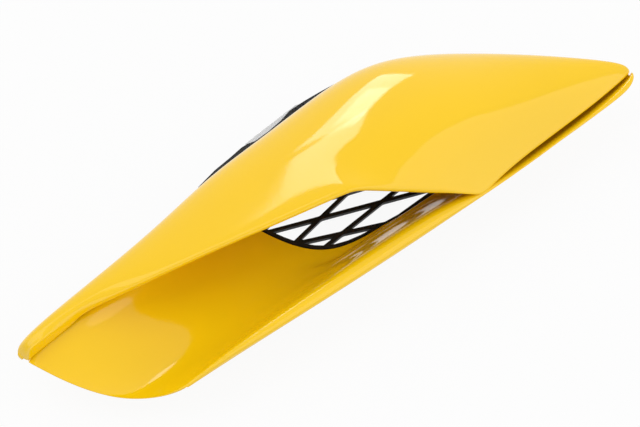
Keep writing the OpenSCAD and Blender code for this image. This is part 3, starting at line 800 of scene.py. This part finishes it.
# Pop rivets: black aluminium, each with a low dome on the strip, the end of its broken mandrel in
# the dome, and a shank set under the bracket.
BAR_D = 3.5
BRACKET_T = 1.5
RIVET_R = 1.6
RIVET_HEAD_R = 3
RIVET_HEAD_H = 1.6
RIVET_FOOT = 1
MANDREL_R = 0.9
MANDREL_DEPTH = 0.7
BRACKET_REAR = (368, 117)
rivet_offsets = [(-7, -7), (3, -7)]
TURNED_SEGMENTS = 40


def turned(name, profile, place, tilt, thread=None):
    """Turned piece from its profile of (radius, height) in millimetres, with a thread of (pitch, depth) if any.

    The thread runs along the profile's only long straight, of points set close together."""
    turns = np.linspace(0, 2 * math.pi, TURNED_SEGMENTS, endpoint=False)
    rings = []
    for r, z, cut in ((*p, 0)[:3] for p in profile):
        radii = np.full(TURNED_SEGMENTS, float(r))
        if thread and cut:
            pitch, depth = thread
            phase = (z / pitch - turns / (2 * math.pi)) % 1
            radii -= cut * depth * np.clip(np.abs(2 * phase - 1) * 1.3 - 0.15, 0, 1)
        rings.append(np.column_stack([radii * np.cos(turns), radii * np.sin(turns), np.full(TURNED_SEGMENTS, z)]))
    n = TURNED_SEGMENTS
    faces = [
        (r * n + i, r * n + (i + 1) % n, (r + 1) * n + (i + 1) % n, (r + 1) * n + i)
        for r in range(len(rings) - 1)
        for i in range(n)
    ]
    faces += [tuple(range(n - 1, -1, -1)), tuple(range((len(rings) - 1) * n, len(rings) * n))]
    points = np.concatenate(rings) / 1000 @ np.array(tilt).T + np.array(place)
    mesh = bpy.data.meshes.new(name)
    mesh.from_pydata(points.tolist(), [], faces)
    return finished(name, mesh, 35)


grille_turn = math.atan(GRILLE_SLOPE)
grille_tilt = Matrix.Rotation(grille_turn, 3, "X")


def on_grille(x, y, z):
    """Point of the grille's own frame, which lies at the tops of the bars, in the part's own metres."""
    turned_point = grille_tilt @ Vector((x, y, z)) + Vector((0, 0, grille_plane(0)))
    return Vector(placed(turned_point))


def dome(radius, height, low, steps=8):
    """Profile of a low dome that stands on the height low."""
    turns = np.linspace(0.06, 1, steps) * math.pi / 2
    return [(radius * math.cos(t), low + height * math.sin(t)) for t in turns]


foot_z = -BAR_D - 2 * SEAT_GAP - BRACKET_T - RIVET_FOOT
rim_z = SEAT_GAP + RIVET_HEAD_H
rivet_profile = [
    (RIVET_R * 0.75, foot_z),
    (RIVET_R, foot_z + 0.3),
    (RIVET_R, SEAT_GAP),
    (RIVET_HEAD_R * 0.97, SEAT_GAP),
    (RIVET_HEAD_R, SEAT_GAP + 0.2),
    *((r, z) for r, z in dome(RIVET_HEAD_R, RIVET_HEAD_H - 0.2, SEAT_GAP + 0.2) if r > MANDREL_R + 0.2),
    (MANDREL_R, rim_z - 0.15),
    (MANDREL_R - 0.1, rim_z - MANDREL_DEPTH),
    (0.05, rim_z - MANDREL_DEPTH + 0.1),
]
rivet_black = metal("black_anodised", Colour=(0.03, 0.03, 0.032), Brushed=0.1, Dull=0.35, Marks=0.1)
for number, (dx, dy) in enumerate(rivet_offsets, 1):
    spot = on_grille(BRACKET_REAR[0] + dx, BRACKET_REAR[1] / math.cos(grille_turn) + dy, 0)
    rivet = turned(f"pop_rivet_{number}", rivet_profile, spot, grille_tilt)
    dressed(rivet, f"bracket_rivet_{number}", rivet_black)

# Foam seals: two strips of black closed-cell foam under the shell's flange, stuck there by their own
# tape. They take up the gap to the body panel.
SEAL_EDGE_R = 0.0005
foam = bpy.data.materials.new("black_foam")
tree = node_tree(foam)
paint = add(tree, "BsdfPrincipled", Specular_IOR_Level=0.2)
cells = add(tree, "TexVoronoi", Scale=1400.0)
link(tree, add(tree, "TexCoord").outputs["Object"], cells, "Vector")
link(tree, ranged(tree, cells.outputs["Distance"], 0.75, 0.95, 0, 0.8), paint, "Roughness")
# The colour is darkest at the middle of each cell, where the bump sinks a pit, and paler towards the cell's rim: this
# is painted shade in the pits.
pit_shaded_colour = add(tree, "ValToRGB")
pit_shaded_colour.color_ramp.elements[0].color = (0.008, 0.008, 0.009, 1)
pit_shaded_colour.color_ramp.elements[1].color = (0.03, 0.03, 0.032, 1)
link(tree, cells.outputs["Distance"], pit_shaded_colour, "Fac")
link(tree, pit_shaded_colour, paint, "Base Color")
pitted = add(tree, "Bump", Strength=0.6, Distance=0.0004)
link(tree, cells.outputs["Distance"], pitted, "Height")
link(tree, pitted, paint, "Normal")
link(tree, paint, add(tree, "OutputMaterial"), "Surface")
for end in ("front", "rear"):
    seal = softened(f"foam_strip_{end}", f"seal_{end}", SEAL_EDGE_R, 3, 60)
    dressed(seal, f"seal_{end}", foam)

# Mounting studs: M6 threads on round plates, zinc-plated steel. The plates are bonded under the
# flange and under the trough, and the threads go through the body panel.
STUD_R = 3
STUD_L = 16
STUD_PITCH = 1
STUD_THREAD_DEPTH = 0.55
PLATE_R = 6
PLATE_T = 1.5
STUD_SPOTS = {2: 0.335, 3: 0.793}
TROUGH_SPOT = (0.23, 0.49)
THREAD_STEPS = 10


def threaded(radius, start, end, pitch):
    """Points of a threaded length, close enough together to carry the thread, which runs out at both ends."""
    zs = np.arange(start, end, pitch / THREAD_STEPS)
    return [(radius, z, float(min(1, (z - start) / pitch, (end - z) / pitch))) for z in zs]


stud_profile = [
    (STUD_R * 0.5, -STUD_L),
    (STUD_R - STUD_THREAD_DEPTH, -STUD_L),
    *threaded(STUD_R, -STUD_L + 0.5, -1.2, STUD_PITCH),
    (STUD_R, 0),
    (PLATE_R - 0.3, 0),
    (PLATE_R, 0.3),
    (PLATE_R, PLATE_T - 0.3),
    (PLATE_R - 0.3, PLATE_T),
    (0.1, PLATE_T),
]
section = np.array([at(line, TROUGH_SPOT[0]) for line in duct_lines])
trough_point = on_land(guided(section, [TROUGH_SPOT[1]]))[0] - [0, 0, DUCT_T]
stud_seats = {
    1: Vector((0, 0, SEAT_GAP + PLATE_T)) / 1000,
    **{number: shell_place(u)[0] for number, u in STUD_SPOTS.items()},
    4: Vector(placed(trough_point)),
}
zinc = metal("zinc_plate", Colour=(0.66, 0.66, 0.68), Brushed=0.08, Dull=0.28, Marks=0.12)
upright = Matrix.Identity(3)
for number, seat in sorted(stud_seats.items()):
    foot = seat - Vector((0, 0, SEAT_GAP + PLATE_T)) / 1000
    stud = turned(f"stud_{number}", stud_profile, foot, upright, (STUD_PITCH, STUD_THREAD_DEPTH))
    dressed(stud, f"mounting_stud_{number}", zinc)

# Screws: M4 pan heads with a cross recess, driven from below into spring nuts. Four clamp the grille
# to the shell's flange and three clamp the flange to the duct panel's margin.
SCREW_R = 2
SCREW_HEAD_R = 4
SCREW_HEAD_H = 2.4
SCREW_PITCH = 0.7
SCREW_THREAD_DEPTH = 0.38
SCREW_TIP = 2
NUT_T = 0.8
NUT_COLLAR_H = 1.6
RECESS_W = 0.9
RECESS_L = 4.2
RECESS_DEPTH = 1.5


RECESS_TAPER = 0.55


def cross_recess(screw, place, tilt, low):
    """Cuts the tapered cross of a screwdriver recess into the underside of a head."""
    a, b = RECESS_L / 2, RECESS_W / 2
    cross = [(a, -b), (a, b), (b, b), (b, a), (-b, a), (-b, b), (-a, b), (-a, -b), (-b, -b), (-b, -a), (b, -a), (b, -b)]
    n = len(cross)
    points = [(x, y, -RECESS_DEPTH) for x, y in cross]
    points += [(x * RECESS_TAPER, y * RECESS_TAPER, RECESS_DEPTH) for x, y in cross]
    points = [tilt @ (Vector(p) + Vector((0, 0, low))) / 1000 + place for p in points]
    faces = [(i, (i + 1) % n, n + (i + 1) % n, n + i) for i in range(n)]
    mesh = bpy.data.meshes.new("recess")
    mesh.from_pydata(points, [], [*faces, tuple(range(n - 1, -1, -1)), tuple(range(n, 2 * n))])
    cutter = bpy.data.objects.new("recess", mesh)
    bpy.context.collection.objects.link(cutter)
    cut_away(screw, cutter)
    screw.data.shade_smooth()
    screw.data.set_sharp_from_angle(angle=math.radians(35))


def screw_profile(under, seat):
    """Head under the lower clamped face, thread up through the nut's collar."""
    head = under - SEAT_GAP
    top = seat + SEAT_GAP + NUT_T + NUT_COLLAR_H + SCREW_TIP
    crown = [(r, 2 * head - SCREW_HEAD_H - z) for r, z in dome(SCREW_HEAD_R, SCREW_HEAD_H - 0.4, head - SCREW_HEAD_H + 0.4)]
    low_face = [(r, head - 0.4 - (z - head + SCREW_HEAD_H - 0.4)) for r, z in dome(SCREW_HEAD_R, SCREW_HEAD_H - 0.4, head - SCREW_HEAD_H + 0.4)]
    return [
        *reversed(low_face),
        (SCREW_HEAD_R, head - 0.2),
        (SCREW_HEAD_R - 0.2, head),
        (SCREW_R, head),
        *threaded(SCREW_R, head + 0.6, top - 0.4, SCREW_PITCH),
        (SCREW_R - SCREW_THREAD_DEPTH, top),
        (0.1, top),
    ]


def screw_and_nut(kind, number, u, under, seat):
    place, tilt = shell_place(u)
    name = f"{kind}_screw_{number}"
    screw = turned(f"pan_{name}", screw_profile(under, seat), place, tilt, (SCREW_PITCH, SCREW_THREAD_DEPTH))
    cross_recess(screw, place, tilt, under - SEAT_GAP - SCREW_HEAD_H)
    dressed(screw, name, zinc)
    nut = softened(f"spring_{kind}_nut_{number}", f"{kind}_nut_{number}", 0.00015)
    dressed(nut, f"{kind}_nut_{number}", spring_steel)


spring_steel = metal("spring_steel", Colour=(0.42, 0.42, 0.44), Brushed=0.12, Dull=0.34, Marks=0.15)
for number, u in enumerate(grille_fixings, 1):
    screw_and_nut("grille", number, u, -BAR_D - SEAT_GAP, SHELL_T)
for number, u in enumerate(panel_fixings, 1):
    screw_and_nut("panel", number, u, 0, MARGIN_LIFT)
